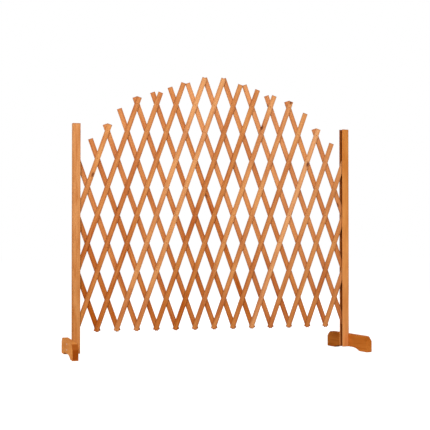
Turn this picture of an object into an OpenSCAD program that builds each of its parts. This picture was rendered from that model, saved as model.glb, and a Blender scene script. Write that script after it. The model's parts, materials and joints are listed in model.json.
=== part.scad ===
// Free-standing expanding trellis. Two grooved posts stand on bracket feet and carry
// a scissor lattice of flat laths with an arched top. A nail joins the two layers of
// laths at each crossing, so the whole lattice folds and opens like a pair of tongs.
// Each post has play in its groove, so it can stand turned a little about its own pin.
// Millimetres. +Z is up, X runs along the panel, the front looks along -Y, and the
// origin lies on the ground in the middle of the rectangle that the trellis covers.
// A place in the lattice is a column and a row: columns count from the left post,
// rows count from the lowest nails.

/* [Lattice] */
// Distance between neighbouring nails along a lath
nail_pitch = 129; // [115:1:145]
// Lean of the laths from upright, as the lattice stands
lath_lean = 19.5; // [12:0.1:27]
// Width of a lath
lath_w = 22; // [16:0.5:24]
// Thickness of a lath
lath_t = 5; // [4:0.1:8]
// Gap between the front and the back layer of laths
layer_gap = 0.3; // [0.2:0.05:0.6]
// Height of the lowest row of nails above the ground
bottom_row_z = 120.5; // [105:0.5:160]
// Run of a free bottom end past its nail
bottom_overhang = 16; // [10:0.5:26]
// Run of a lath end past its nail inside a post
post_overhang = 5.5; // [5:0.5:12]

/* [Nails] */
// Diameter of a nail's shank
nail_d = 2.8; // [2:0.1:4]
// Diameter of a nail's flat head, sunk flush in the front lath
nail_head_d = 5.6; // [4.6:0.1:8]
// Thickness of a nail's head
nail_head_t = 0.9; // [0.6:0.1:1.6]
// Diameter of a nail's riveted tail, sunk flush in the back lath
nail_tail_d = 4.6; // [4.2:0.1:6]
// Thickness of a nail's tail
nail_tail_t = 0.8; // [0.5:0.1:1.4]
// Running clearance round a nail or pin in a lath that turns on it
nail_clearance = 0.08; // [0.03:0.01:0.1]
// Clearance round a nail or pin in the wood that it is driven into
nail_grip = 0.02; // [0.01:0.01:0.04]

/* [Posts] */
// Width of a post, along the panel
post_w = 34; // [32:0.5:50]
// Depth of a post, from front to back
post_d = 26; // [24:0.5:36]
// Height of the top of a post above the ground
post_top_z = 1000; // [900:5:1200]
// Rounding of a post's long edges
post_edge_r = 1.5; // [0.5:0.1:3]
// Reach of the end nails into a post, from its inner face
lattice_seat = 12; // [9:0.5:14]
// Clearance on each side of the lattice in a groove
groove_clearance = 0.35; // [0.3:0.05:0.8]
// Clearance between the lath ends and the floor of a groove
groove_floor_clearance = 1; // [0.5:0.1:2]

// Turn of the left post and foot about the upright line through their pin
left_turn = 4; // [0:1:18]
// Turn of the right post and foot about the upright line through their pin
right_turn = 15; // [0:1:18]

/* [Pivot pins] */
// Diameter of the pin that holds the lattice to a post
pin_d = 4; // [3:0.1:5]
// Diameter of a pin's flat head, sunk flush in the back of the post
pin_head_d = 7.5; // [6:0.1:10]
// Thickness of a pin's head
pin_head_t = 1.2; // [0.8:0.1:1.8]
// Wood left in front of a pin's tip, which keeps it hidden from the front
pin_cover = 1.6; // [1:0.1:2.4]

/* [Feet] */
// Length of a foot, from front to back
foot_l = 310; // [260:5:400]
// Height of a foot
foot_h = 70; // [60:1:90]
// Thickness of a foot, along the panel
foot_t = 26; // [20:0.5:34]
// Depth of the housing across a foot's inner face that takes the post
foot_housing = 4; // [1:0.5:8]
// Clearance on each side of a post in its housing
housing_clearance = 0.1; // [0.05:0.05:0.3]
// Bevel on a foot's two upper ends
foot_bevel = 20; // [8:0.5:30]
// Length of the flat pad under each end of a foot
foot_pad_l = 60; // [40:1:80]
// Height of the arch between the pads
foot_arch_h = 13; // [8:0.5:20]
// Run of the curve from a pad up to the flat of the arch
foot_arch_run = 52; // [24:1:60]

/* [Foot screws] */
// Diameter of a screw's shank
screw_d = 4; // [3:0.1:5]
// Diameter of a screw's countersunk head
screw_head_d = 8; // [7:0.1:10]
// Distance between the two screws of a foot
screw_spacing = 25; // [18:0.5:34]
// Wood left past a screw's tip in the web of the post
screw_cover = 2; // [1:0.1:4]
// Clearance round a screw
screw_clearance = 0.05; // [0.02:0.01:0.1]
// Width of a slot of the cross recess in a screw's head
recess_w = 0.9; // [0.6:0.1:1.2]
// Length of a slot of the cross recess
recess_l = 4; // [3:0.1:4.6]
// Depth of the cross recess
recess_depth = 1.2; // [0.6:0.1:1.5]

/* [Hidden] */
$fn = 48;
// Overrun of every cut past the face that it opens
overrun = 1;

// Laths in each layer
lath_count = 16;
// Laths of a layer that have an end inside one post
short_laths = 3;
// Column of nails inside the right post
last_column = 2 * (lath_count + 1 - short_laths);
// Row of the two pivot pins, at the low end of the shortest lath of a layer
pivot_row = 2 * (short_laths - 1);
// Where the free top end of each front lath lies, in nail pitches from the lowest row
top_shares = [7.23, 8.23, 8.42, 8.79, 9, 9, 8.79, 8.62, 8.42, 8.23, 7.8, 7.23, 6.7];

column_step = nail_pitch * sin(lath_lean);
row_step = nail_pitch * cos(lath_lean);
layer_mid_y = (layer_gap + lath_t) / 2;
lattice_face_y = layer_gap / 2 + lath_t;

// The groove leaves the lattice room for the larger turn of a post: at its mouth, where the
// lattice slants through the inner face, and at its floor, where the lath ends turn
post_turn = max(left_turn, right_turn);
end_reach = norm([post_overhang, lath_w / 2]);
mouth_half_w = lattice_seat * tan(post_turn) + lattice_face_y / cos(post_turn);
floor_half_w = end_reach * sin(post_turn) + lattice_face_y * cos(post_turn);
end_depth = max(end_reach, end_reach * cos(post_turn) + lattice_face_y * sin(post_turn));
groove_w = 2 * (max(mouth_half_w, floor_half_w) + groove_clearance);
groove_depth = lattice_seat + end_depth + groove_floor_clearance;
web_t = post_w - groove_depth;
pin_x = last_column / 2 * column_step;
post_inner_x = pin_x - lattice_seat;
post_outer_x = post_inner_x + post_w;
post_l = post_top_z - foot_arch_h;

foot_inner_x = post_outer_x - foot_housing;
foot_outer_x = foot_inner_x + foot_t;
foot_arch_l = foot_l - 2 * (foot_pad_l + foot_arch_run);
foot_arch_r = (pow(foot_arch_run, 2) + pow(foot_arch_h, 2)) / (2 * foot_arch_h);
screw_l = foot_t - foot_housing + web_t - screw_cover;
screw_head_h = (screw_head_d - screw_d) / 2;
screw_mid_z = (foot_arch_h + foot_h) / 2;

// How far the feet reach past their pins along the panel and to the back and front, which
// sets the origin in the middle of the ground that the trellis covers
function end_x(turn) = (foot_outer_x - pin_x) * cos(turn) + foot_l / 2 * sin(turn);
function right_back_y(turn) = (foot_outer_x - pin_x) * sin(turn) + foot_l / 2 * cos(turn);
function right_front_y(turn) = (foot_inner_x - pin_x) * sin(turn) - foot_l / 2 * cos(turn);
middle_x = (end_x(right_turn) - end_x(left_turn)) / 2;
back_y = max(right_back_y(right_turn), -right_front_y(left_turn));
front_y = min(right_front_y(right_turn), -right_back_y(left_turn));
middle_y = (back_y + front_y) / 2;

lath_color = "#cf8a4e";
back_lath_color = "#b96c34";
post_color = "#d8935a";
foot_color = "#c27b40";
nail_color = "#8a6a4c";
screw_color = "#c4c8c8";

LATHS = [1:lath_count];
SIDES = ["left", "right"];
function numbered(name, i) = str(name, "_", i < 10 ? "0" : "", i);

// Places in the lattice
function column_x(column) = (column - last_column / 2) * column_step;
function row_z(row) = bottom_row_z + row * row_step;

function stand_turn(side) = side == "left" ? left_turn : right_turn;
function pin_back_y(turn) = post_d / 2 / cos(turn) - pin_head_d / 2 * tan(turn);

// Back lath j is the mirror image of front lath mirrored(j)
function mirrored(j) = lath_count + 1 - j;

// Front lath i: the rows of its lowest and highest nail, and how far along it its ends lie
function first_row(i) = max(0, 2 * (short_laths - i));
function post_row(i) = 2 * mirrored(i);
function is_free(i) = i <= len(top_shares);
function end_row(i) = is_free(i) ? top_shares[i - 1] : post_row(i);
function last_row(i) = is_free(i) ? floor(end_row(i) - post_overhang / nail_pitch) : post_row(i);
function bottom_end(i) = first_row(i) * nail_pitch - (i > short_laths ? bottom_overhang : post_overhang);
function top_end(i) = end_row(i) * nail_pitch + (is_free(i) ? 0 : post_overhang);

// Front lath i crosses back lath j at one row and column, where both have a hole if they
// reach it. A pivot pin takes the place of the nail at the two crossings inside the posts.
function crossing_row(i, j) = j - i + short_laths;
function crossing_column(i, j) = i + j - short_laths;
function reaches(i, row) = row >= first_row(i) && row <= last_row(i);
function crosses(i, j) = reaches(i, crossing_row(i, j)) && reaches(mirrored(j), crossing_row(i, j));
function in_post(i, j) = crossing_column(i, j) == 0 || crossing_column(i, j) == last_column;
function at_pivot(i, j) = crossing_row(i, j) == pivot_row && in_post(i, j);
function front_rows(i, pivots) =
    [for (j = LATHS) if (crosses(i, j) && at_pivot(i, j) == pivots) crossing_row(i, j)];
function back_rows(j, pivots) =
    [for (i = LATHS) if (crosses(i, j) && at_pivot(i, j) == pivots) crossing_row(i, j)];

// Children drawn along Z from the lowest row are laid along front lath i
module along_front(i) {
    translate([column_x(2 * (i - short_laths)), 0, row_z(0)])
        rotate([0, lath_lean, 0])
            children();
}

// Children drawn along Z from the lowest row are laid along back lath j
module along_back(j) {
    translate([column_x(2 * j), 0, row_z(0)])
        rotate([0, -lath_lean, 0])
            children();
}

// A round bar along Y from one depth to another
module bar_y(d, from_y, to_y) {
    translate([0, from_y, 0])
        rotate([-90, 0, 0])
            cylinder(d = d, h = to_y - from_y);
}

// A lath between two ends, centred on its layer
module lath_blank(low, high, mid_y) {
    translate([-lath_w / 2, mid_y - lath_t / 2, low])
        cube([lath_w, lath_t, high - low]);
}

// A hole through both layers at each of some rows
module row_holes(rows, d) {
    for (row = rows)
        translate([0, 0, row * nail_pitch])
            bar_y(d, -lattice_face_y - overrun, lattice_face_y + overrun);
}

module front_lath(i) {
    color(lath_color)
        along_front(i)
            difference() {
                lath_blank(bottom_end(i), top_end(i), -layer_mid_y);
                row_holes(front_rows(i, false), nail_d + 2 * nail_grip);
                row_holes(front_rows(i, true), pin_d + 2 * nail_clearance);
                for (row = front_rows(i, false))
                    translate([0, 0, row * nail_pitch])
                        bar_y(
                            nail_head_d + 2 * nail_grip,
                            -lattice_face_y - overrun,
                            nail_head_t - lattice_face_y);
            }
}

module back_lath(j) {
    i = mirrored(j);
    color(back_lath_color)
        along_back(j)
            difference() {
                lath_blank(bottom_end(i), top_end(i), layer_mid_y);
                row_holes(back_rows(j, false), nail_d + 2 * nail_clearance);
                row_holes(back_rows(j, true), pin_d + 2 * nail_clearance);
                for (row = back_rows(j, false))
                    translate([0, 0, row * nail_pitch])
                        bar_y(
                            nail_tail_d + 2 * nail_clearance,
                            lattice_face_y - nail_tail_t - nail_clearance,
                            lattice_face_y + overrun);
            }
}

// One nail: a flat head at the front, a shank through both laths, a riveted tail behind
module nail() {
    bar_y(nail_head_d, -lattice_face_y, nail_head_t - lattice_face_y);
    bar_y(nail_d, -lattice_face_y, lattice_face_y);
    bar_y(nail_tail_d, lattice_face_y - nail_tail_t, lattice_face_y);
}

module lattice_nails(i) {
    color(nail_color)
        along_front(i)
            for (row = front_rows(i, false))
                translate([0, 0, row * nail_pitch])
                    nail();
}

// What is drawn square to the panel at the right end goes to the named end
module at_side(side) {
    if (side == "left")
        mirror([1, 0, 0])
            children();
    else
        children();
}

// The same, turned about the upright line through that end's pin
module stand_at(side) {
    this_pin_x = side == "left" ? -pin_x : pin_x;
    translate([this_pin_x, 0, 0])
        rotate([0, 0, stand_turn(side)])
            translate([-this_pin_x, 0, 0])
                at_side(side)
                    children();
}

// A rectangle from the origin with its four corners rounded
module rounded_rectangle(size, r) {
    translate([r, 0])
        square([size[0] - 2 * r, size[1]]);
    translate([0, r])
        square([size[0], size[1] - 2 * r]);
    for (x = [r, size[0] - r], y = [r, size[1] - r])
        translate([x, y])
            circle(r);
}

// The pivot pin, drawn at the right end. It is driven square to the lattice from the back of
// a post, deep enough for the rim of its head to lie flush where the post is turned.
module pin_shape(turn, grow, head_end_y) {
    translate([pin_x, 0, row_z(pivot_row)]) {
        bar_y(pin_d + 2 * grow, pin_cover - post_d / 2, pin_back_y(turn));
        bar_y(pin_head_d + 2 * grow, pin_back_y(turn) - pin_head_t, head_end_y);
    }
}

module post(side) {
    color(post_color)
        difference() {
            stand_at(side)
                difference() {
                    translate([post_inner_x, -post_d / 2, foot_arch_h])
                        linear_extrude(post_l)
                            rounded_rectangle([post_w, post_d], post_edge_r);
                    translate([post_inner_x - overrun, -groove_w / 2, foot_arch_h - overrun])
                        cube([groove_depth + overrun, groove_w, post_l + 2 * overrun]);
                    foot_screw_pair(screw_clearance, false);
                }
            at_side(side)
                pin_shape(stand_turn(side), nail_grip, post_d);
        }
}

module pivot_pin(side) {
    color(nail_color)
        at_side(side)
            pin_shape(stand_turn(side), 0, pin_back_y(stand_turn(side)));
}

// Side view of a foot: front to back, ground up
module foot_profile() {
    difference() {
        polygon([
            [-foot_l / 2, 0],
            [foot_l / 2, 0],
            [foot_l / 2, foot_h - foot_bevel],
            [foot_l / 2 - foot_bevel, foot_h],
            [foot_bevel - foot_l / 2, foot_h],
            [-foot_l / 2, foot_h - foot_bevel]]);
        translate([-foot_arch_l / 2, -overrun])
            square([foot_arch_l, foot_arch_h + overrun]);
        for (side = [-1, 1])
            translate([side * foot_arch_l / 2, foot_arch_h - foot_arch_r])
                circle(foot_arch_r);
    }
}

module foot(side) {
    color(foot_color)
        stand_at(side)
            difference() {
                translate([foot_inner_x, 0, 0])
                    rotate([90, 0, 90])
                        linear_extrude(foot_t)
                            foot_profile();
                translate([foot_inner_x - overrun, -post_d / 2 - housing_clearance, -overrun])
                    cube([foot_housing + overrun, post_d + 2 * housing_clearance, foot_h + 2 * overrun]);
                foot_screw_pair(screw_clearance, false);
            }
}

// One countersunk screw along -X, with its head's face at the origin
module screw_shape(grow, has_recess) {
    rotate([0, -90, 0])
        difference() {
            union() {
                cylinder(d = screw_d + 2 * grow, h = screw_l + grow);
                cylinder(d1 = screw_head_d + 2 * grow, d2 = screw_d + 2 * grow, h = screw_head_h);
            }
            if (has_recess)
                for (turn = [0, 90])
                    rotate([0, 0, turn])
                        translate([-recess_l / 2, -recess_w / 2, -overrun])
                            cube([recess_l, recess_w, recess_depth + overrun]);
        }
}

// The two screws of a foot, drawn at the right end
module foot_screw_pair(grow, has_recess) {
    for (step = [-1, 1])
        translate([foot_outer_x, 0, screw_mid_z + step * screw_spacing / 2])
            screw_shape(grow, has_recess);
}

module foot_screws(side) {
    color(screw_color)
        stand_at(side)
            foot_screw_pair(0, true);
}

translate([-middle_x, -middle_y, 0]) {
    for (side = SIDES) {
        post(side);
        foot(side);
        foot_screws(side);
        pivot_pin(side);
    }
    for (i = LATHS) {
        front_lath(i);
        back_lath(i);
        lattice_nails(i);
    }
}
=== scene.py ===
"""The finished look of a free-standing expanding trellis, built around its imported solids.

Two grooved posts on bracket feet carry a scissor lattice of flat laths. Every board is one
closed surface, worked out as whole arrays: a rounded cross section carried along the board.
Lengths are in metres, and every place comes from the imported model.
"""

import json

import bpy
import numpy as np
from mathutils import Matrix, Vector


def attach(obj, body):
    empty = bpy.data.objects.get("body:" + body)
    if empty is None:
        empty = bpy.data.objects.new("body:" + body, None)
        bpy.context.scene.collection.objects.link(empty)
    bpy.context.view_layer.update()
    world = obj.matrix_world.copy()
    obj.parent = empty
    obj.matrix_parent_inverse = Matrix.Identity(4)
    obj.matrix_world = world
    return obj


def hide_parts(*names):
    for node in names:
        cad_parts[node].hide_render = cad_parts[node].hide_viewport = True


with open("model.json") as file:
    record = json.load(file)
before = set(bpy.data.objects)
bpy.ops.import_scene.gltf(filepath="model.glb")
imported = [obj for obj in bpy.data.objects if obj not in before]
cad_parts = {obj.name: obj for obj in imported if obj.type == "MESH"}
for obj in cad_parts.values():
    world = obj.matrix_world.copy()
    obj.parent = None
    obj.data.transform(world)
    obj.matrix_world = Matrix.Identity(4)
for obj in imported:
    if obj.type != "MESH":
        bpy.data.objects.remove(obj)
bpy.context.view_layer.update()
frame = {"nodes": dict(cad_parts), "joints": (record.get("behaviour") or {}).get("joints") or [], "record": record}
joints = {joint["name"]: joint for joint in frame["joints"]}
mounts = {mount["name"]: mount for mount in frame["record"]["mounts"]}

MM = 0.001

# How near two packed points lie on one face or wall, and the slack when lengths are compared
same_face = 0.01 * MM
same_wall = 0.02 * MM
wall_slack = 0.1 * MM
length_slack = 1e-9

# Seeds of the small changes from board to board
lath_seeds = {"front": 0, "back": 100}
post_seeds = {"left": 210, "right": 211}
foot_seeds = {"left": 220, "right": 221}

# Nearest and farthest that the pith of its tree lies from a board, the slant of the grain
# against the board, and the length of tree that boards are sawn from
lath_pith = (0.012, 0.07)
post_pith = (0.02, 0.05)
foot_pith = (0.03, 0.07)
grain_slant = 0.012
tree_length = 40

# Laths
lath_numbers = range(1, 17)
lath_arris = (0.6 * MM, 1.1 * MM)
lath_end_round = 0.7 * MM
lath_waist = 0.2 * MM
lath_bow = 0.25 * MM
lath_edge_spots = (-0.6, 0.6)
lath_tone_spread = 0.75
nail_line = 2 * MM
wave_count = 5
wave_heights = (0.5, 1)
wave_stretch = 0.7

# Posts
post_edge = 1.5 * MM
post_mouth_edge = 0.9 * MM
post_floor_edge = 1.2 * MM
post_end_round = 0.9 * MM
# Painted shade in the groove fades in over these depths past its mouth; on the rear cheek it lies in a band and
# fades in between these heights
groove_fade = (0.3 * MM, 3 * MM)
cheek_band = 0.5 * MM
cheek_fade = (0.1, 0.35)

# Feet
foot_arris = 1.6 * MM
foot_end_round = 1.4 * MM
foot_bevel_ease = 9 * MM
foot_corner_r = 5 * MM
housing_clearance = 0.1 * MM
housing_wall = 0.2 * MM
housing_steps = np.array([-3, 0, 1, 4])
pad_edge = 0.3 * MM
arch_points = 13
bevel_points = 10
bevel_reach = 1.5
corner_points = 7
corner_turn = 1.45
face_digits = 3
foot_edge_spots = (-0.6, 0, 0.6)
foot_rear_spots = (-0.4, 0.4)
foot_end_fade = (0.25, 0.95)
bevel_fade = 0.3

# How far stain soaks in and painted edge shade reaches, how much of each every place takes, the painted shade in
# the groove and on its rear cheek, and the painted light that makes the lattice paler towards the top
edge_soak_and_shade_reach = 8.5 * MM
post_soak_and_shade_reach = 5 * MM
end_soak_reach = 4 * MM
# Painted light: the lattice is paler above the middle height and darker below it, for the brighter light and sheen
# up there
painted_top_light = 1.25
painted_top_light_middle = 0.7
# Painted shade: the groove and the rear cheek beside it are darkened for the shade inside the groove
groove_painted_shade = 2.0
cheek_painted_shade = 1.25
lath_end_soak = 0.7
post_end_soak = 0.7
bevel_soak = 0.85

# Stations along a board, and the lines that hold its rounded edges
station_gap = 26 * MM
station_clearance = 0.2 * MM
station_digits = 4
edge_support = 0.35 * MM

# Nails and the dents that they are set in
nail_dent_depth = 0.3 * MM
nail_dent_rim = 1.1 * MM
screw_dent_depth = 0.5 * MM
screw_dent_rim = 0.9 * MM
pin_dent_rim = 0.7 * MM
pin_rim_step = 0.35 * pin_dent_rim
dent_clearance = 0.3 * MM
dent_core = 1.5 * MM
dent_rim_shares = np.array([0, 0.35, 0.7, 1.05])
nail_gap = 20 * MM
screw_gap = 4 * MM
nail_sides = 12
nail_shank = 0.5
nail_crown = 0.6
nail_head_depths = np.array([0.08, 0.4, 0.8]) * MM
nail_tail_depths = np.array([0.7, 0.35, 0.07]) * MM

# The view from the left of the panel's middle, a little below half its height
picture_px = 430
focal_px = 1002
sensor_mm = 36
camera_place = (-0.9983, -4.3251, 0.5388)
camera_yaw = np.radians(12.872)
camera_pitch = np.radians(0.898)


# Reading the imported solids


def node_points(node):
    """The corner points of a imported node, one row of x, y, z each."""
    mesh = frame["nodes"][node].data
    flat = np.empty(3 * len(mesh.vertices), np.float32)
    mesh.vertices.foreach_get("co", flat)
    return flat.reshape(-1, 3).astype(float)


def middles(points, gap):
    """The middle of each cluster of flat points, split at gaps along their longer spread."""
    key = np.argmax(np.ptp(points, 0))
    points = points[np.argsort(points[:, key])]
    clusters = np.split(points, np.nonzero(np.diff(points[:, key]) > gap)[0] + 1)
    return np.array([(cluster.min(0) + cluster.max(0)) / 2 for cluster in clusters])


def nail_places(number):
    """The nails of one front lath: their middles as x, z, both depths, and both radii.

    The front faces of the heads are clusters of points along the lath, one for each nail.
    """
    points = node_points(f"lattice_nails_{number:02d}")
    front, back = points[:, 1].min(), points[:, 1].max()
    heads = points[points[:, 1] < front + same_face][:, [0, 2]]
    tails = points[points[:, 1] > back - same_face][:, [0, 2]]
    places = middles(heads, nail_gap)
    head_r = np.linalg.norm(heads[:, None] - places, axis=2).min(1).max()
    tail_r = np.linalg.norm(tails[:, None] - places, axis=2).min(1).max()
    return {"places": places, "front": front, "back": back, "head_r": head_r, "tail_r": tail_r}


class Stand:
    """A post and its foot, with places given as out from the pin, back, and up.

    Out runs along the panel away from its middle. The stand is turned about the upright line
    through its pin, by the angle at which its two pads lie one behind the other.
    """

    def __init__(self, side):
        self.side = side
        self.body = f"{side}_stand"
        pin_joint = "lattice_fold" if side == "left" else "right_stand_turn"
        self.pin = np.array(joints[pin_joint]["pos_m"])
        self.outward = -1 if side == "left" else 1
        front, back = (np.array(mounts[f"{side}_{end}_pad"]["pos_m"]) for end in ("front", "back"))
        run = back - front
        self.turn = np.arctan2(-run[0], run[1])

    def local(self, points):
        """Row-frame points as out, back, up."""
        dx, dy = points[:, 0] - self.pin[0], points[:, 1] - self.pin[1]
        along = np.cos(self.turn) * dx + np.sin(self.turn) * dy
        back = np.cos(self.turn) * dy - np.sin(self.turn) * dx
        return np.stack([self.outward * along, back, points[:, 2]], 1)

    def placed(self, out, back, up):
        """Arrays of out, back and up as row-frame points."""
        out, back, up = np.broadcast_arrays(out, back, up)
        along = self.outward * out
        x = self.pin[0] + np.cos(self.turn) * along - np.sin(self.turn) * back
        y = self.pin[1] + np.sin(self.turn) * along + np.cos(self.turn) * back
        return np.stack([x, y, up], -1)


# Shapes as arrays


def smooth_step(value, start, end):
    """0 at the start, 1 at the end, and a cubic S between them."""
    share = np.clip((value - start) / (end - start), 0, 1)
    return share * share * (3 - 2 * share)


def wandering_line(along, length, rng):
    """A smooth seeded line from 0 to 1: five sines, each shorter and lower than the last."""
    waves = np.arange(1, wave_count + 1)
    phases = rng.uniform(0, 2 * np.pi, wave_count)
    heights = rng.uniform(*wave_heights, wave_count) / waves
    turns = 2 * np.pi * waves * along[:, None] / length
    line = (heights * np.sin(turns * wave_stretch + phases)).sum(1)
    return (line / heights.sum() + 1) / 2


def rectangle_loop(face_spots, edge_spots, rear_spots, arc_steps=3):
    """A rounded rectangle as a table, so that its size can change from station to station.

    A point lies at its share of the straight half sides plus its arc direction times the arris
    radius, first across and then through the board. Returned are both side shares, both arc
    directions, and the share of arris, which is 1 in the middle of each arc. The face is the
    side at minus one through the board, the rear the one opposite.
    """
    def flat(shares, across, direction):
        """Points of one straight side, at the shares along it."""
        shares = np.asarray(shares, float)
        steady = np.full_like(shares, across)
        turned = np.tile(direction, (len(shares), 1))
        pair = (shares, steady) if direction[0] == 0 else (steady, shares)
        return np.column_stack([*pair, turned, np.zeros(len(shares))])

    def arc(corner, start):
        """Points of a quarter circle about a corner, from the start angle in degrees."""
        share = np.linspace(0, 1, arc_steps + 1)
        angle = np.radians(start + 90 * share)
        corners = np.tile(corner, (len(share), 1))
        return np.column_stack([corners, np.cos(angle), np.sin(angle), np.sin(np.pi * share)])

    face, edge, rear = (np.sort(spots) for spots in (face_spots, edge_spots, rear_spots))
    return np.vstack([
        flat(face, -1, (0, -1)), arc((1, -1), -90),
        flat(edge, 1, (1, 0)), arc((1, 1), 0),
        flat(rear[::-1], 1, (0, 1)), arc((-1, 1), 90),
        flat(edge[::-1], -1, (-1, 0)), arc((-1, -1), 180)]).T


def rounded_outline(corners, radii, extra_spots, arc_steps=4):
    """A closed outline whose corners are arcs that touch both of their edges.

    Each arc is swung from one touching point to the other about the centre on the corner's
    bisector. Spots past a corner's arc are distances from that corner towards the next one.
    """
    corners = np.asarray(corners, float)
    to_last = np.roll(corners, 1, 0) - corners
    to_next = np.roll(corners, -1, 0) - corners
    sides = np.linalg.norm(to_next, axis=1)
    to_last /= np.linalg.norm(to_last, axis=1)[:, None]
    to_next /= sides[:, None]
    share = np.linspace(0, 1, arc_steps + 1)
    points = []
    for k, corner in enumerate(corners):
        half = np.arccos(np.clip(to_last[k] @ to_next[k], -1, 1)) / 2
        cut = radii[k] / np.tan(half)
        bisector = to_last[k] + to_next[k]
        middle = corner + bisector / np.linalg.norm(bisector) * radii[k] / np.sin(half)
        first, last = corner + cut * to_last[k] - middle, corner + cut * to_next[k] - middle
        swing = np.pi - 2 * half
        weights = np.stack([np.sin((1 - share) * swing), np.sin(share * swing)], 1) / np.sin(swing)
        points.append(middle + weights @ np.stack([first, last]))
        far = (k + 1) % len(corners)
        run_end = sides[k] - radii[far] - edge_support
        spots = np.unique([cut + edge_support, *extra_spots.get(k, ()), run_end])
        spots = spots[(spots >= cut + edge_support - length_slack) & (spots <= run_end + length_slack)]
        points.append(corner + spots[:, None] * to_next[k])
    return np.vstack(points)


def outward_normals(outline):
    """Unit normals of a closed outline: its central differences turned a quarter outwards."""
    ahead = np.roll(outline, -1, 0) - np.roll(outline, 1, 0)
    normal = np.stack([ahead[:, 1], -ahead[:, 0]], 1)
    normal /= np.linalg.norm(normal, axis=1)[:, None]
    after = np.roll(outline, -1, 0)
    area = (outline[:, 0] * after[:, 1] - outline[:, 1] * after[:, 0]).sum()
    return normal * np.sign(area)


def end_rounding(low, high, radius, steps=3):
    """Stations that round off both ends of a board, with the inset of the section at each.

    On a quarter circle, a station nearer the end by the sine of its angle is inset by one
    less the cosine.
    """
    angle = np.linspace(0, np.pi / 2, steps + 1)
    inset = radius * (1 - np.cos(angle))
    near = radius * np.sin(angle)
    stations = np.concatenate([(low + radius - near)[::-1], high - radius + near])
    return stations, np.concatenate([inset[::-1], inset])


def stations_between(low, high, radius, spots):
    """All stations of a board with rounded ends: the rounding, the spots, and an even filling."""
    ends, insets = end_rounding(low, high, radius)
    filling = np.arange(low + radius + station_gap / 2, high - radius, station_gap)
    soaked = end_soak_reach * np.array([0.5, 1])
    near_ends = [low + radius + edge_support, high - radius - edge_support]
    inner = np.concatenate([spots, filling, near_ends, low + soaked, high - soaked])
    inner = np.unique(np.round(inner, station_digits))
    after_low = inner > low + radius + station_clearance
    before_high = inner < high - radius - station_clearance
    inner = inner[after_low & before_high]
    half = len(ends) // 2
    stations = np.concatenate([ends[:half], inner, ends[half:]])
    inset = np.concatenate([insets[:half], np.zeros(len(inner)), insets[half:]])
    return stations, inset


def drawn_in(stations, low, high):
    """The share of stain that both ends draw in: 1 at an end, fading over the reach on an S."""
    reach = np.minimum(stations - low, high - stations)
    return 1 - smooth_step(reach, 0, end_soak_reach)


def dent(across, along, places, flat_r, rim, depth):
    """Depth of round dents: full within the flat radius of the nearest place, none past the rim."""
    reach = np.hypot(across[..., None] - places[:, 0], along[..., None] - places[:, 1]).min(-1)
    return depth * (1 - smooth_step(reach, flat_r, flat_r + rim))


# Meshes


def loft_faces(stations, around):
    """Faces of a closed loft: a band of four-sided faces between rings, and a lid on each end."""
    ring = np.arange(stations - 1)[:, None] * around
    here = np.arange(around)[None, :]
    after = (here + 1) % around
    bands = np.stack([ring + here, ring + after, ring + around + after, ring + around + here], -1)
    first_lid = np.arange(around)[::-1]
    last_lid = np.arange(around) + (stations - 1) * around
    return bands.reshape(-1, 4), [first_lid, last_lid]


def signed_volume(points, quads):
    """Six times the volume that the bands sweep about the middle, negative when inside out."""
    corner = (points - points.mean(0))[quads]
    first = np.cross(corner[:, 0], corner[:, 1]) * corner[:, 2]
    second = np.cross(corner[:, 0], corner[:, 2]) * corner[:, 3]
    return (first + second).sum()


def link_mesh(name, points, faces, smooth, material):
    """A new object at the origin, with its place in its mesh."""
    mesh = bpy.data.meshes.new(name)
    mesh.from_pydata(points.tolist(), [], faces)
    mesh.polygons.foreach_set("use_smooth", smooth)
    mesh.materials.append(material)
    mesh.update()
    piece = bpy.data.objects.new(name, mesh)
    bpy.context.scene.collection.objects.link(piece)
    return piece


def board(name, rings, grain, finish, material):
    """A board from its rings of points, with the grain's own coordinates and the finish marks.

    Grain holds across, through and along the board from the pith of its tree. The marks hold
    the share of edge, darkened by stain and by painted shade; the share of end grain, which past one
    is painted shade in a groove; and the tone, the board's own tone plus painted light along its height.
    """
    stations, around, _ = rings.shape
    points = rings.reshape(-1, 3)
    quads, lids = loft_faces(stations, around)
    if signed_volume(points, quads) < 0:
        quads = quads[:, ::-1]
        lids = [lid[::-1] for lid in lids]
    faces = quads.tolist() + [lid.tolist() for lid in lids]
    smooth = np.ones(len(faces), bool)
    smooth[-2:] = False
    piece = link_mesh(name, points, faces, smooth, material)
    for label, values in (("grain", grain), ("finish", finish)):
        attribute = piece.data.attributes.new(label, "FLOAT_VECTOR", "POINT")
        attribute.data.foreach_set("vector", np.ascontiguousarray(values, np.float32).ravel())
    return piece


def from_pith(across, through, along, rng, nearest, farthest):
    """Grain coordinates of a board sawn at a seeded place and slant from its tree."""
    reach, angle = rng.uniform(nearest, farthest), rng.uniform(0, 2 * np.pi)
    slant, start = rng.uniform(-grain_slant, grain_slant, 2), rng.uniform(0, tree_length)
    across, through, along = np.broadcast_arrays(across, through, along)
    return np.stack([
        across + reach * np.cos(angle) + slant[0] * along,
        through + reach * np.sin(angle) + slant[1] * along,
        along + start], -1)


# The marks carry stain and tone, and also painted shade on edges and in grooves and painted light along the height
def marks(edge, end, tone):
    """Finish marks of every point: its shares of edge and of end grain, and its tone."""
    edge, end, tone = np.broadcast_arrays(edge, end, tone)
    return np.stack([edge, end, tone], -1)


# Node helpers


def put(tree, kind, inputs=(), **settings):
    """A node with its settings, whose inputs take a value or the socket that feeds them."""
    node = tree.nodes.new(kind)
    for key, value in settings.items():
        setattr(node, key, value)
    for key, value in dict(inputs).items():
        if isinstance(value, bpy.types.NodeSocket):
            tree.links.new(value, node.inputs[key])
        else:
            node.inputs[key].default_value = value
    return node


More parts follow.
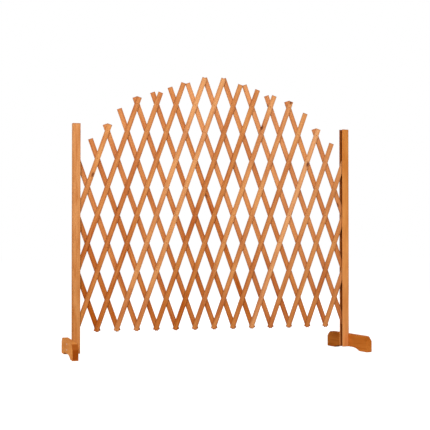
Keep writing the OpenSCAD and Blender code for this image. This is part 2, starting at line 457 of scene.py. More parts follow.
def maths(tree, operation, first, second=0.0, third=0.0, clamp=False):
    """The result of one sum."""
    numbers = {0: first, 1: second, 2: third}
    node = put(tree, "ShaderNodeMath", numbers, operation=operation, use_clamp=clamp)
    return node.outputs[0]


def stretched(tree, vector, scale):
    """A vector with each direction scaled on its own."""
    node = put(tree, "ShaderNodeVectorMath", {0: vector, 1: scale}, operation="MULTIPLY")
    return node.outputs[0]


def noise(tree, vector, detail=2.0, roughness=0.5):
    """A noise value about one half."""
    node = put(tree, "ShaderNodeTexNoise",
               {"Vector": vector, "Scale": 1.0, "Detail": detail, "Roughness": roughness})
    return node.outputs[0]


def mixed(tree, share, first, second, blend="MIX"):
    """Two colours mixed by a share. The mix node takes colours at its inputs 6 and 7."""
    colours = {0: share, 6: first, 7: second}
    node = put(tree, "ShaderNodeMix", colours, data_type="RGBA", blend_type=blend)
    return node.outputs[2]


def ramp(tree, value, stops):
    """A grey ramp through stops of place and level."""
    node = put(tree, "ShaderNodeValToRGB", {0: value})
    node.color_ramp.interpolation = "EASE"
    elements = node.color_ramp.elements
    elements[0].position, elements[1].position = stops[0][0], stops[-1][0]
    elements[0].color, elements[1].color = (grey(level) for _, level in (stops[0], stops[-1]))
    for place, level in stops[1:-1]:
        elements.new(place).color = grey(level)
    return node.outputs[0]


def grey(level):
    """A grey as a colour with full alpha."""
    return (level, level, level, 1.0)


def new_group(name, inputs, outputs):
    """An empty shader group with named sockets, and its two end nodes."""
    tree = bpy.data.node_groups.new(name, "ShaderNodeTree")
    for label, kind, value in inputs:
        socket = tree.interface.new_socket(label, in_out="INPUT", socket_type=kind)
        if value is not None:
            socket.default_value = value
    for label, kind in outputs:
        tree.interface.new_socket(label, in_out="OUTPUT", socket_type=kind)
    return tree, tree.nodes.new("NodeGroupInput"), tree.nodes.new("NodeGroupOutput")


# Finishes

# Patterns of the pine, as cells in a metre across, through and along the board
ring_bend_scale = (38, 38, 3.5)
fibre_scale = (760, 760, 14)
blotch_scale = (24, 24, 6)
streak_scale = (240, 240, 4)
knot_scale = (20, 20, 11)

# Ramps of the patterns, as place and level
late_wood_stops = ((0, 0), (0.5, 0.2), (0.84, 1), (0.95, 0.35), (1, 0))
streak_stops = ((0.6, 0), (0.72, 1))
knot_stops = ((0.05, 1), (0.2, 0))

# How far each pattern takes the colour from pale to deep
ring_bend = 0.014
year_least = 0.35
year_spread = 0.65
stain_least = 0.1
blotch_middle = 0.38
blotch_depth = 1.5
fibre_depth = 0.5
streak_depth = 0.22
knot_depth = 0.85
edge_least = 0.45
edge_spread = 0.8

# How far a board's tone takes it to pale, fades it and lifts it
tone_depth = 0.28
tone_fade = 0.04
tone_lift = 0.06

# What multiplies the deep stain on knots and end grain, the deep stain as painted shade in grooves, and the colour
# on edges, darkened by stain and by painted shade
knot_tint = (0.26, 0.15, 0.1, 1)
end_tint = (0.66, 0.5, 0.38, 1)
groove_shade_tint = (0.13, 0.05, 0.034, 1)
edge_stain_and_shade_tint = (0.72, 0.69, 0.64, 1)

# Roughness and relief of the pine
pine_rough = 0.6
late_rough = -0.1
fibre_rough = 0.16
end_rough = 0.2
late_relief = 0.35
fibre_relief = 0.6
streak_relief = -0.3
knot_relief = 0.3
grain_height = 0.5 * MM

# Patterns, roughness and relief of the metal
patch_scale = (420, 420, 420)
speck_scale = (2600, 2600, 2600)
speck_depth = 0.6
clean_rough = 0.28
dull_rough = 0.4
speck_relief = 0.2
speck_height = 0.2 * MM


def stained_pine():
    """Group of stained softwood, read from a board's grain coordinates and finish marks.

    Year rings are shells round the pith: the distance from it, bent by a slow noise and divided
    by the ring gap, is the place in the year, and late wood is darker. Fibres, streaks and the
    blotches of the stain are noises drawn out along the board. Knots are the cores of a few
    cells. End grain takes more stain; the long edges are darker by stain and by painted shade.
    Past one, the mark of end grain is painted shade in a groove, darker yet.
    """
    tree, start, end = new_group(
        "stained pine",
        [("Grain", "NodeSocketVector", None), ("Finish", "NodeSocketVector", None),
         ("Pale", "NodeSocketColor", None), ("Deep", "NodeSocketColor", None),
         ("Ring Gap", "NodeSocketFloat", 0.003), ("Ring Depth", "NodeSocketFloat", 0.5),
         ("Knots", "NodeSocketFloat", 0.05)],
        [("Color", "NodeSocketColor"), ("Roughness", "NodeSocketFloat"), ("Height", "NodeSocketFloat")])
    grain, pale, deep = (start.outputs[label] for label in ("Grain", "Pale", "Deep"))
    edge, end_grain_and_shade, tone = put(tree, "ShaderNodeSeparateXYZ", {0: start.outputs["Finish"]}).outputs

    slow = noise(tree, stretched(tree, grain, ring_bend_scale))
    off_pith = stretched(tree, grain, (1, 1, 0))
    reach = put(tree, "ShaderNodeVectorMath", {0: off_pith}, operation="LENGTH").outputs["Value"]
    bent = maths(tree, "MULTIPLY_ADD", slow, ring_bend, reach)
    years = maths(tree, "DIVIDE", bent, start.outputs["Ring Gap"])
    late = ramp(tree, maths(tree, "FRACT", years), late_wood_stops)
    year = put(tree, "ShaderNodeTexWhiteNoise", {"W": maths(tree, "FLOOR", years)}, noise_dimensions="1D")
    strength = maths(tree, "MULTIPLY_ADD", year.outputs["Value"], year_spread, year_least)
    late = maths(tree, "MULTIPLY", late, strength)

    fibre = noise(tree, stretched(tree, grain, fibre_scale), detail=3.0, roughness=0.6)
    blotch = noise(tree, stretched(tree, grain, blotch_scale), detail=3.0)
    streak = noise(tree, stretched(tree, grain, streak_scale), detail=1.0)
    streak = ramp(tree, streak, streak_stops)

    cells = put(tree, "ShaderNodeTexVoronoi",
                {"Vector": stretched(tree, grain, knot_scale), "Scale": 1.0}, feature="F1")
    pick = put(tree, "ShaderNodeSeparateXYZ", {0: cells.outputs["Color"]}).outputs[0]
    chosen = maths(tree, "LESS_THAN", pick, start.outputs["Knots"])
    core = ramp(tree, cells.outputs["Distance"], knot_stops)
    knot = maths(tree, "MULTIPLY", core, chosen)

    share = maths(tree, "MULTIPLY_ADD", late, start.outputs["Ring Depth"], stain_least)
    share = maths(tree, "MULTIPLY_ADD", maths(tree, "SUBTRACT", blotch, blotch_middle), blotch_depth, share)
    share = maths(tree, "MULTIPLY_ADD", maths(tree, "SUBTRACT", fibre, 0.5), fibre_depth, share)
    share = maths(tree, "MULTIPLY_ADD", streak, streak_depth, share)
    share = maths(tree, "MULTIPLY_ADD", tone, -tone_depth, share, clamp=True)
    colour = mixed(tree, share, pale, deep)
    colour = put(tree, "ShaderNodeHueSaturation", {
        "Color": colour,
        "Saturation": maths(tree, "MULTIPLY_ADD", tone, -tone_fade, 1.0),
        "Value": maths(tree, "MULTIPLY_ADD", tone, tone_lift, 1.0)}).outputs[0]
    dark = mixed(tree, 1.0, deep, knot_tint, "MULTIPLY")
    soaked = mixed(tree, 1.0, deep, end_tint, "MULTIPLY")
    colour = mixed(tree, maths(tree, "MULTIPLY", knot, knot_depth), colour, dark)
    uneven = maths(tree, "MULTIPLY_ADD", blotch, edge_spread, edge_least, clamp=True)
    # Edges are darker by stain pooling there and by painted shade that stands in for the shaded sides of the board
    colour = mixed(tree, maths(tree, "MULTIPLY", edge, uneven), colour, edge_stain_and_shade_tint, "MULTIPLY")
    colour = mixed(tree, maths(tree, "MINIMUM", end_grain_and_shade, 1.0), colour, soaked)
    # Painted shade: past one, the end grain mark turns a groove near black for the shade inside it
    groove_shade_colour = mixed(tree, 1.0, deep, groove_shade_tint, "MULTIPLY")
    shade = maths(tree, "SUBTRACT", end_grain_and_shade, 1.0, clamp=True)
    colour = mixed(tree, shade, colour, groove_shade_colour)

    rough = maths(tree, "MULTIPLY_ADD", late, late_rough, pine_rough)
    rough = maths(tree, "MULTIPLY_ADD", fibre, fibre_rough, rough)
    rough = maths(tree, "MULTIPLY_ADD", end_grain_and_shade, end_rough, rough, clamp=True)
    height = maths(tree, "MULTIPLY_ADD", late, late_relief, maths(tree, "MULTIPLY", fibre, fibre_relief))
    height = maths(tree, "MULTIPLY_ADD", streak, streak_relief, height)
    height = maths(tree, "MULTIPLY_ADD", knot, knot_relief, height)
    for label, value in (("Color", colour), ("Roughness", rough), ("Height", height)):
        tree.links.new(value, end.inputs[label])
    return tree


def dull_metal():
    """Group of weathered metal: two colours mixed by a fine noise, rougher where it is dull."""
    tree, start, end = new_group(
        "dull metal",
        [("Place", "NodeSocketVector", None), ("Clean", "NodeSocketColor", None),
         ("Dull", "NodeSocketColor", None), ("Dullness", "NodeSocketFloat", 0.5)],
        [("Color", "NodeSocketColor"), ("Roughness", "NodeSocketFloat"), ("Height", "NodeSocketFloat")])
    place = start.outputs["Place"]
    patches = noise(tree, stretched(tree, place, patch_scale), detail=3.0)
    specks = noise(tree, stretched(tree, place, speck_scale))
    share = maths(tree, "ADD", maths(tree, "SUBTRACT", patches, 0.5), start.outputs["Dullness"])
    off_middle = maths(tree, "SUBTRACT", specks, 0.5)
    share = maths(tree, "MULTIPLY_ADD", off_middle, speck_depth, share, clamp=True)
    colour = mixed(tree, share, start.outputs["Clean"], start.outputs["Dull"])
    rough = maths(tree, "MULTIPLY_ADD", share, dull_rough, clean_rough)
    for label, value in (("Color", colour), ("Roughness", rough), ("Height", specks)):
        tree.links.new(value, end.inputs[label])
    return tree


def new_material(name):
    """An empty node material."""
    material = bpy.data.materials.new(name)
    material.use_nodes = True
    material.node_tree.nodes.clear()
    return material, material.node_tree


def wood(name, group, pale, deep, ring_gap, ring_depth, knots, relief, shine):
    """A stained board, with the group's colour, roughness and relief."""
    material, tree = new_material(name)
    grain = put(tree, "ShaderNodeAttribute", attribute_name="grain").outputs["Vector"]
    finish = put(tree, "ShaderNodeAttribute", attribute_name="finish").outputs["Vector"]
    stain = put(tree, "ShaderNodeGroup", {
        "Grain": grain, "Finish": finish, "Pale": (*pale, 1), "Deep": (*deep, 1),
        "Ring Gap": ring_gap, "Ring Depth": ring_depth, "Knots": knots}, node_tree=group)
    bump = put(tree, "ShaderNodeBump",
               {"Height": stain.outputs["Height"], "Strength": relief, "Distance": grain_height})
    shader = put(tree, "ShaderNodeBsdfPrincipled", {
        "Base Color": stain.outputs["Color"], "Roughness": stain.outputs["Roughness"],
        "Normal": bump.outputs[0], "Specular IOR Level": shine})
    put(tree, "ShaderNodeOutputMaterial", {"Surface": shader.outputs[0]})
    return material


def metal(name, group, clean, dull, dullness, metallic, shine):
    """Nail or screw metal, bare or under the stain, read from the place on the part."""
    material, tree = new_material(name)
    place = put(tree, "ShaderNodeTexCoord").outputs["Object"]
    skin = put(tree, "ShaderNodeGroup", {
        "Place": place, "Clean": (*clean, 1), "Dull": (*dull, 1), "Dullness": dullness}, node_tree=group)
    bump = put(tree, "ShaderNodeBump",
               {"Height": skin.outputs["Height"], "Strength": speck_relief, "Distance": speck_height})
    shader = put(tree, "ShaderNodeBsdfPrincipled", {
        "Base Color": skin.outputs["Color"], "Roughness": skin.outputs["Roughness"],
        "Normal": bump.outputs[0], "Metallic": metallic, "Specular IOR Level": shine})
    put(tree, "ShaderNodeOutputMaterial", {"Surface": shader.outputs[0]})
    return material


lath_grain = {"ring_gap": 0.0032, "ring_depth": 0.42, "knots": 0.25, "relief": 0.35, "shine": 0.08}
post_grain = {"ring_gap": 0.0036, "ring_depth": 0.4, "knots": 0.3, "relief": 0.3, "shine": 0.08}
foot_grain = {"ring_gap": 0.0038, "ring_depth": 0.42, "knots": 0.03, "relief": 0.3, "shine": 0.02}
pine = stained_pine()
weathered = dull_metal()

# Pale and deep stain of each kind of board
lath_woods = {
    "front": wood("front lath wood", pine, (0.67, 0.288, 0.091), (0.42, 0.094, 0.02), **lath_grain),
    "back": wood("back lath wood", pine, (0.68, 0.272, 0.085), (0.41, 0.09, 0.019), **lath_grain)}
post_woods = {
    "left": wood("left post wood", pine, (0.685, 0.308, 0.11), (0.465, 0.147, 0.031), **post_grain),
    # The right post's colours are paler than the left's, painted light for the brighter light on it, as both posts
    # are one wood
    "right": wood("right post wood", pine, (0.8, 0.335, 0.096), (0.54, 0.158, 0.028), **post_grain)}
foot_woods = {
    "left": wood("left foot wood", pine, (0.7, 0.25, 0.036), (0.46, 0.118, 0.0105), **foot_grain),
    "right": wood("right foot wood", pine, (0.69, 0.228, 0.044), (0.45, 0.108, 0.012), **foot_grain)}
nail_steel = metal("nail steel", weathered, clean=(0.56, 0.2, 0.055), dull=(0.42, 0.13, 0.03),
                   dullness=0.5, metallic=0.0, shine=0.1)
screw_zinc = metal("screw zinc", weathered, clean=(0.5, 0.56, 0.57), dull=(0.3, 0.33, 0.33),
                   dullness=0.25, metallic=1.0, shine=0.5)


# Lattice


nails = {number: nail_places(number) for number in lath_numbers}
all_nails = np.vstack([nails[number]["places"] for number in lath_numbers])

# Boards that stand out from the rest, darker below nought and paler above
lath_tones = {
    "front_lath_02": -0.3, "front_lath_03": -0.3, "front_lath_04": -0.4, "front_lath_05": 0.6,
    "front_lath_06": 0.6, "front_lath_07": -0.4, "front_lath_08": -0.5, "front_lath_12": 1.4,
    "front_lath_13": 0.4, "front_lath_15": 0.1, "front_lath_16": 0.6, "back_lath_01": -0.9,
    "back_lath_03": -0.1, "back_lath_12": -0.1, "back_lath_14": 0.4, "back_lath_15": -0.1}


def lath_board(layer, number):
    """One lath, as a rounded rectangle carried along the line between the middles of its ends.

    Its corners are the lowest and highest points of its solid and those farthest to the sides.
    The section narrows by a seeded wander, and its outer face is dented round every nail.
    """
    node = f"{layer}_lath_{number:02d}"
    rng = np.random.default_rng(lath_seeds[layer] + number)
    solid = node_points(node)
    flat = solid[:, [0, 2]]
    lean = 1 if layer == "front" else -1
    low, high = flat[np.argmin(flat[:, 1])], flat[np.argmax(flat[:, 1])]
    low_side, high_side = flat[np.argmin(lean * flat[:, 0])], flat[np.argmax(lean * flat[:, 0])]
    foot, tip = (low + low_side) / 2, (high + high_side) / 2
    length = np.linalg.norm(tip - foot)
    axis = (tip - foot) / length
    side = np.array([axis[1], -axis[0]])
    width = np.linalg.norm(low - low_side)
    thick = np.ptp(solid[:, 1])
    middle_y = (solid[:, 1].min() + solid[:, 1].max()) / 2

    own = np.stack([(all_nails - foot) @ side, (all_nails - foot) @ axis], 1)
    own = own[(np.abs(own[:, 0]) < nail_line) & (own[:, 1] > 0) & (own[:, 1] < length)]
    head_r = nails[1]["head_r"] if layer == "front" else nails[1]["tail_r"]
    dent_r = head_r + dent_clearance
    rim_spots = dent_r + nail_dent_rim * dent_rim_shares
    spots = np.concatenate([[0, dent_core], rim_spots])
    spots = np.unique(np.concatenate([-spots, spots]))

    arris = rng.uniform(*lath_arris)
    straight = width / 2 - arris
    near_edge = 1 - edge_support / straight
    edge_darkening_start = 1 - edge_soak_and_shade_reach / straight
    face = np.concatenate([spots / straight, [-near_edge, near_edge]])
    rear = (-near_edge, -edge_darkening_start, edge_darkening_start, near_edge)
    side_a, side_b, arc_a, arc_b, on_arris = rectangle_loop(face, lath_edge_spots, rear)
    stations, inset = stations_between(0, length, lath_end_round, (own[:, 1:] + spots).ravel())
    line = wandering_line(stations, length, rng)
    half_w = (width / 2 - inset - lath_waist * line)[:, None]
    half_t = (thick / 2 - inset)[:, None]
    across = side_a * (half_w - arris) + arc_a * arris
    through = side_b * (half_t - arris) + arc_b * arris
    dented = dent(across, np.broadcast_to(stations[:, None], across.shape), own,
                  dent_r, nail_dent_rim, nail_dent_depth)
    through = through + dented * (side_b == -1) * (arc_b == -1)

    bow = lath_bow * rng.uniform(-1, 1) * np.sin(np.pi * stations / length)[:, None]
    x = foot[0] + axis[0] * stations[:, None] + side[0] * (across + bow)
    z = foot[1] + axis[1] * stations[:, None] + side[1] * (across + bow)
    y = middle_y + lean * through
    grain = from_pith(across, through, stations[:, None], rng, *lath_pith)
    at_end = lath_end_soak * drawn_in(stations, 0, length)[:, None]
    own_tone = lath_tones.get(node, rng.uniform(-lath_tone_spread, lath_tone_spread))
    # Painted light: the lattice is paler above the middle height and darker below it
    tone = own_tone + painted_top_light * (z - painted_top_light_middle)
    # Edge mark: stain pooling towards the long edges, and painted shade for the shaded sides of the lath
    edge = np.clip((np.abs(across) - half_w) / edge_soak_and_shade_reach + 1, 0, 1)
    finish = marks(np.maximum(edge, on_arris), at_end, tone)
    piece = board(f"{node}_board", np.stack([x, y, z], -1), grain, finish, lath_woods[layer])
    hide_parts(node)
    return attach(piece, node)


def nail_row(number):
    """The nails of one front lath, each a profile of radius and depth turned about its own line."""
    nail = nails[number]
    head, tail, shank = nail["head_r"], nail["tail_r"], nail_shank * nail["head_r"]
    front, back = nail["front"], nail["back"]
    radius = np.array([nail_crown * head, head, shank, shank, tail, nail_crown * tail])
    depth = np.concatenate([front + nail_head_depths, back - nail_tail_depths])
    angle = np.linspace(0, 2 * np.pi, nail_sides, endpoint=False)
    rings = np.stack([
        radius[:, None] * np.cos(angle),
        np.broadcast_to(depth[:, None], (len(depth), nail_sides)),
        radius[:, None] * np.sin(angle)], -1).reshape(-1, 3)
    one = np.vstack([rings, [[0, front, 0], [0, back, 0]]])
    bands, _ = loft_faces(len(depth), nail_sides)
    here = np.arange(nail_sides)
    after = (here + 1) % nail_sides
    last = (len(depth) - 1) * nail_sides
    crown = np.stack([np.full(nail_sides, len(one) - 2), after, here], 1)
    clench = np.stack([np.full(nail_sides, len(one) - 1), last + here, last + after], 1)
    if signed_volume(one, bands) < 0:
        bands, crown, clench = bands[:, ::-1], crown[:, ::-1], clench[:, ::-1]
    places = nail["places"]
    shift = np.stack([places[:, 0], np.zeros(len(places)), places[:, 1]], 1)
    points = (shift[:, None] + one).reshape(-1, 3)
    step = np.arange(len(places))[:, None, None] * len(one)
    bands, crown, clench = ((part + step).reshape(-1, part.shape[1]) for part in (bands, crown, clench))
    faces = bands.tolist() + crown.tolist() + clench.tolist()
    name = f"lattice_nails_{number:02d}"
    piece = link_mesh(f"{name}_set", points, faces, np.ones(len(faces), bool), nail_steel)
    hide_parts(name)
    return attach(piece, f"front_lath_{number:02d}")


# Stands


def post_timber(stand, rng, tone_and_light_ends, material):
    """A post: its grooved outline carried upwards, with both ends rounded off inwards.

    The outline is read from the solid: the groove's walls meet the inner face at its nearest
    points to the middle, and its floor lies at the far end of the walls. The back face is dented
    down to the head of the pin.
    """
    node = f"{stand.side}_post"
    solid = stand.local(node_points(node))
    inner, outer = solid[:, 0].min(), solid[:, 0].max()
    half_d = solid[:, 1].max()
    low, high = solid[:, 2].min(), solid[:, 2].max()
    mouth = np.abs(solid[solid[:, 0] < inner + same_face, 1]).min()
    on_wall = np.abs(np.abs(solid[:, 1]) - mouth) < same_wall
    floor = solid[on_wall, 0].max()

    pin = node_points(f"{stand.side}_pivot_pin")
    head_face = pin[pin[:, 1] > pin[:, 1].max() - same_face]
    head_r = np.ptp(head_face[:, 2]) / 2
    head = stand.local(head_face)
    head_out, head_up = ((head[:, k].min() + head[:, k].max()) / 2 for k in (0, 2))
    dent_depth = half_d - head[:, 1].min() + dent_clearance
    dent_r = head_r / np.cos(stand.turn) + dent_clearance
    reach = dent_r + pin_dent_rim
    rings = np.array([0.5 * dent_r, dent_r, reach - pin_rim_step, reach])
    around = np.concatenate([-rings[::-1], [0], rings])

    corners = [(outer, -half_d), (outer, half_d), (inner, half_d), (inner, mouth),
               (floor, mouth), (floor, -mouth), (inner, -mouth), (inner, -half_d)]
    radii = [post_edge, post_edge, post_edge, post_mouth_edge,
             post_floor_edge, post_floor_edge, post_mouth_edge, post_edge]
    width, depth = outer - inner, 2 * half_d
    extra = {0: [post_soak_and_shade_reach, depth - post_soak_and_shade_reach], 7: [width - post_soak_and_shade_reach],
             1: np.append(outer - head_out + around, post_soak_and_shade_reach)}
    outline = rounded_outline(corners, radii, extra)
    normal = outward_normals(outline)
    stations, inset = stations_between(low, high, post_end_round, head_up + around)
    out = outline[:, 0] - inset[:, None] * normal[:, 0]
    back = outline[:, 1] - inset[:, None] * normal[:, 1]
    up = np.broadcast_to(stations[:, None], out.shape)
    dented = dent(out, up, np.array([[head_out, head_up]]), dent_r, pin_dent_rim, dent_depth)
    back = back - dented * (outline[:, 1] > half_d - same_face)

    at_end = post_end_soak * drawn_in(stations, low, high)[:, None]
    # Painted shade: the groove and the rear cheek beside it take the darkest mark for the shade inside the groove;
    # on the cheek it fades in upwards, above where light off the floor reaches
    between_walls = np.abs(outline[:, 1]) < mouth + wall_slack
    above_floor = outline[:, 0] < floor + wall_slack
    in_groove = smooth_step(outline[:, 0] - inner, *groove_fade) * between_walls * above_floor
    on_cheek = (outline[:, 0] < inner + cheek_band) * (outline[:, 1] > mouth)
    cheek = cheek_painted_shade * on_cheek * smooth_step(up, *cheek_fade)
    darkening = np.maximum(np.maximum(at_end, cheek), groove_painted_shade * in_groove)
    # Edge mark near the outer corners: stain and painted shade for the shaded outer side of the post
    off_corner = np.hypot(outline[:, 0] - outer, np.abs(outline[:, 1]) - half_d)
    edge = np.clip(1 - off_corner / post_soak_and_shade_reach, 0, 1)
    # Painted light: the post's tone runs from bottom to top, lighter or darker along its height for how light
    # falls on it
    tone = tone_and_light_ends[0] + (tone_and_light_ends[1] - tone_and_light_ends[0]) * (up - low) / (high - low)
    grain = from_pith(out, back, up, rng, *post_pith)
    finish = marks(edge, darkening, tone)
    piece = board(f"{node}_timber", stand.placed(out, back, up), grain, finish, material)
    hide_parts(node)
    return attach(piece, stand.body)


def foot_timber(stand, rng, tone, end_soak, material):
    """A bracket foot: a rounded rectangle carried from its front end to its back end.

    Its underside is flat on the pads and rises to the flat arch along arcs of one radius. Its top
    drops towards each end along the bevel. The drop there is half of the sum of the straight drop
    and the root of its square plus an eighth of the ease squared, which eases the edge. Top and
    underside then round into the end on a quarter circle. The outer face is dented at the screws,
    and the inner face steps back by the depth of the housing over the breadth of the post.
    """
    node = f"{stand.side}_foot"
    solid = stand.local(node_points(node))
    post = stand.local(node_points(f"{stand.side}_post"))
    inner, outer = solid[:, 0].min(), solid[:, 0].max()
    ahead, up = np.abs(solid[:, 1]), solid[:, 2]
    half_l, top = ahead.max(), up.max()
    pad_inner = ahead[up < same_face].min()
    arch_h = up[ahead < 0.5 * pad_inner].min()
    arch_flat = ahead[np.abs(up - arch_h) < same_wall].max()
    bevel_start = ahead[up > top - same_face].max()
    bevel_low = up[ahead > half_l - same_face].max()
    housing = post[:, 0].max() - inner + housing_clearance
    housing_half = post[:, 1].max() + housing_clearance

    heads = stand.local(node_points(f"{node}_screws"))
    heads = heads[heads[:, 0] > heads[:, 0].max() - same_face][:, 1:]
    screws = middles(heads, screw_gap)
    screw_r = np.linalg.norm(heads[:, None] - screws, axis=2).min(1).max()
    dent_r = screw_r + dent_clearance
    rings = dent_r + screw_dent_rim * dent_rim_shares
    around = np.concatenate([-rings, [-0.5 * dent_r, 0, 0.5 * dent_r], rings])

    arc_run = pad_inner - arch_flat
    arc_r = (arc_run ** 2 + arch_h ** 2) / (2 * arch_h)
    slope = (top - bevel_low) / (half_l - bevel_start)
    arc_spots = arch_flat + arc_run * np.linspace(0, 1, arch_points)
    bevel_spots = bevel_start + foot_bevel_ease * np.linspace(-bevel_reach, bevel_reach, bevel_points)
    corner_spots = half_l - foot_corner_r * (1 - np.sin(np.linspace(0, corner_turn, corner_points)))
    housing_spots = housing_half + housing_wall * housing_steps
    pad_spots = [pad_inner + pad_edge]
    spots = np.concatenate([arc_spots, bevel_spots, corner_spots, housing_spots, pad_spots])
    spots = np.concatenate([-spots, spots, (screws[:, :1] + around).ravel()])
    stations, inset = stations_between(-half_l, half_l, foot_end_round, spots)
    run = np.clip(np.abs(stations) - arch_flat, 0, arc_run)
    under = arch_h - (arc_r - np.sqrt(arc_r ** 2 - run ** 2))
    under = np.where(np.abs(stations) >= pad_inner, 0, under)
    drop = slope * (np.abs(stations) - bevel_start)
    over = top - (drop + np.sqrt(drop ** 2 + foot_bevel_ease ** 2 / 8)) / 2
    past = np.clip(np.abs(stations) - half_l + foot_corner_r, 0, foot_corner_r)
    turned_in = foot_corner_r - np.sqrt(foot_corner_r ** 2 - past ** 2)
    over, under = over - turned_in, under + turned_in

    straight = (top - arch_h) / 2 - foot_arris
    middle_up = (top + arch_h) / 2
    near_edge = 1 - edge_support / straight
    dent_spots = ((screws[:, 1:] + around).ravel() - middle_up) / straight
    face = np.concatenate([dent_spots, [-near_edge, near_edge]])
    face = np.unique(np.round(face[np.abs(face) <= near_edge], face_digits))
    rear = (-near_edge, *foot_rear_spots, near_edge)
    side_a, side_b, arc_a, arc_b, on_arris = rectangle_loop(face, foot_edge_spots, rear)
    half_h = (over - under)[:, None] / 2
    half_t = ((outer - inner) / 2 - inset)[:, None]
    across = (over + under)[:, None] / 2 + side_a * (half_h - foot_arris) + arc_a * foot_arris
    through = side_b * (half_t - foot_arris) + arc_b * foot_arris
    back = np.broadcast_to(stations[:, None], across.shape)
    dented = dent(back, across, screws, dent_r, screw_dent_rim, screw_dent_depth)
    through = through + dented * (side_b == -1) * (arc_b == -1)
    housed = (np.abs(stations) < housing_half + 0.5 * housing_wall)[:, None]
    through = through - housing * housed * (side_b == 1)

    fade_start, fade_end = (share * foot_end_round for share in foot_end_fade)
    at_end = smooth_step(inset, fade_start, fade_end)[:, None]
    grain = from_pith(across, through, back, rng, *foot_pith)
    fade = bevel_fade * foot_bevel_ease
    on_bevel = smooth_step(np.abs(stations) - bevel_start, -fade, fade)[:, None] * (side_a == 1)
    darkening = np.maximum(at_end, bevel_soak * on_bevel) * end_soak
    finish = marks(on_arris * (1 - at_end), darkening, tone)
    out = (outer + inner) / 2 - through
    piece = board(f"{node}_timber", stand.placed(out, back, across), grain, finish, material)
    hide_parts(node)
    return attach(piece, stand.body)


def dress_solid(node, material):
    """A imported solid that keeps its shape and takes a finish."""
    solid = frame["nodes"][node]
    for place in solid.material_slots:
        place.material = material


for number in lath_numbers:
    lath_board("front", number)
    lath_board("back", number)
    nail_row(number)

# Tone of the posts at the bottom and the top, painted light for how light falls along their height; tone of each
# foot, the left one raised partly as painted light on its side; and how dark their ends are
post_tones_and_painted_light = {"left": (-0.7, 0.2), "right": (0.4, -0.8)}
# The left foot is paler partly as painted light standing in for more light on its outer side
foot_tones_and_painted_light = {"left": 0.8, "right": -0.35}
foot_end_soaks = {"left": 1.0, "right": 0.2}
for side in ("left", "right"):
    stand = Stand(side)
    post_rng = np.random.default_rng(post_seeds[side])
    foot_rng = np.random.default_rng(foot_seeds[side])
    post_timber(stand, post_rng, post_tones_and_painted_light[side], post_woods[side])
    foot_timber(stand, foot_rng, foot_tones_and_painted_light[side], foot_end_soaks[side], foot_woods[side])
    dress_solid(f"{side}_pivot_pin", nail_steel)
    dress_solid(f"{side}_foot_screws", screw_zinc)


# Studio

# Strength of the backdrop's light, half side of the floor, its glow where it is seen, and its
# greys for the light that it throws back and for what is seen of it
backdrop_fill = 0.16
floor_half = 14
floor_glow = 0.94
floor_bounce = 0.6
floor_shade = 0.4

# Lamps: place, the point that each faces, side in metres, and power in watts
lamps = {
    "key": ((-2.0, -2.6, 2.6), (0, 0, 0.7), 1.4, 95),
    "side fill": ((1.3, -3.5, 0.85), (0.55, 0, 0.3), 1.6, 58),
    "left fill": ((-3.4, -0.4, 0.8), (-0.6, 0, 0.3), 1.2, 24),
    "back fill": ((2.4, 2.8, 1.9), (0.1, 0, 0.5), 1.8, 75)}


def seen_rays(tree):
    """1 for what the camera sees, straight, mirrored or through glass."""
    path = put(tree, "ShaderNodeLightPath").outputs
    seen = maths(tree, "MAXIMUM", path["Is Camera Ray"], path["Is Glossy Ray"])
    return maths(tree, "MAXIMUM", seen, path["Is Transmission Ray"])


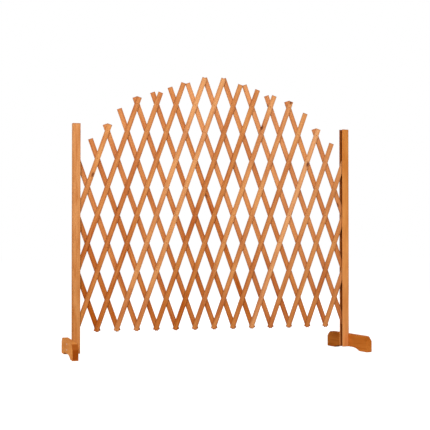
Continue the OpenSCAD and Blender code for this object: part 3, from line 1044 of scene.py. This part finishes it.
def studio_world():
    """A white backdrop that lights the object by the fill alone."""
    world = bpy.data.worlds.new("studio")
    world.use_nodes = True
    tree = world.node_tree
    tree.nodes.clear()
    lit = put(tree, "ShaderNodeBackground", {"Color": grey(1), "Strength": backdrop_fill})
    seen = put(tree, "ShaderNodeBackground", {"Color": grey(1), "Strength": 1.0})
    both = put(tree, "ShaderNodeMixShader", {0: seen_rays(tree), 1: lit.outputs[0], 2: seen.outputs[0]})
    put(tree, "ShaderNodeOutputWorld", {"Surface": both.outputs[0]})
    bpy.context.scene.world = world


def studio_floor():
    """A pale floor that reads white where it is seen, and keeps the shadow."""
    material, tree = new_material("studio floor")
    matt = put(tree, "ShaderNodeBsdfDiffuse", {"Color": grey(floor_bounce)})
    shaded = put(tree, "ShaderNodeBsdfDiffuse", {"Color": grey(floor_shade)})
    glow = put(tree, "ShaderNodeEmission", {"Color": grey(1), "Strength": floor_glow})
    white = put(tree, "ShaderNodeAddShader", {0: shaded.outputs[0], 1: glow.outputs[0]})
    both = put(tree, "ShaderNodeMixShader", {0: seen_rays(tree), 1: matt.outputs[0], 2: white.outputs[0]})
    put(tree, "ShaderNodeOutputMaterial", {"Surface": both.outputs[0]})
    corners = np.array([[-1, -1, 0], [1, -1, 0], [1, 1, 0], [-1, 1, 0]]) * floor_half
    floor = link_mesh("studio_floor", corners, [[0, 1, 2, 3]], np.zeros(1, bool), material)


def soft_lamp(name, place, aim, size, power):
    """A square lamp that faces its aim."""
    lamp = bpy.data.lights.new(name, "AREA")
    lamp.size = size
    lamp.energy = power
    lamp_object = bpy.data.objects.new(name, lamp)
    lamp_object.location = place
    lamp_object.rotation_euler = (Vector(aim) - Vector(place)).to_track_quat("-Z", "Y").to_euler()
    bpy.context.scene.collection.objects.link(lamp_object)


def picture_camera():
    """A camera with the focal length in pixels, turned by yaw and pitch."""
    lens = bpy.data.cameras.new("picture")
    lens.sensor_width = sensor_mm
    lens.lens = focal_px / picture_px * sensor_mm
    camera = bpy.data.objects.new("picture", lens)
    camera.location = camera_place
    ahead = Vector((np.sin(camera_yaw) * np.cos(camera_pitch),
                    np.cos(camera_yaw) * np.cos(camera_pitch), np.sin(camera_pitch)))
    camera.rotation_euler = ahead.to_track_quat("-Z", "Y").to_euler()
    bpy.context.scene.collection.objects.link(camera)
    bpy.context.scene.camera = camera


studio_world()
studio_floor()
for name, (place, aim, size, power) in lamps.items():
    soft_lamp(name, place, aim, size, power)
picture_camera()
bpy.context.scene.view_settings.view_transform = "Standard"
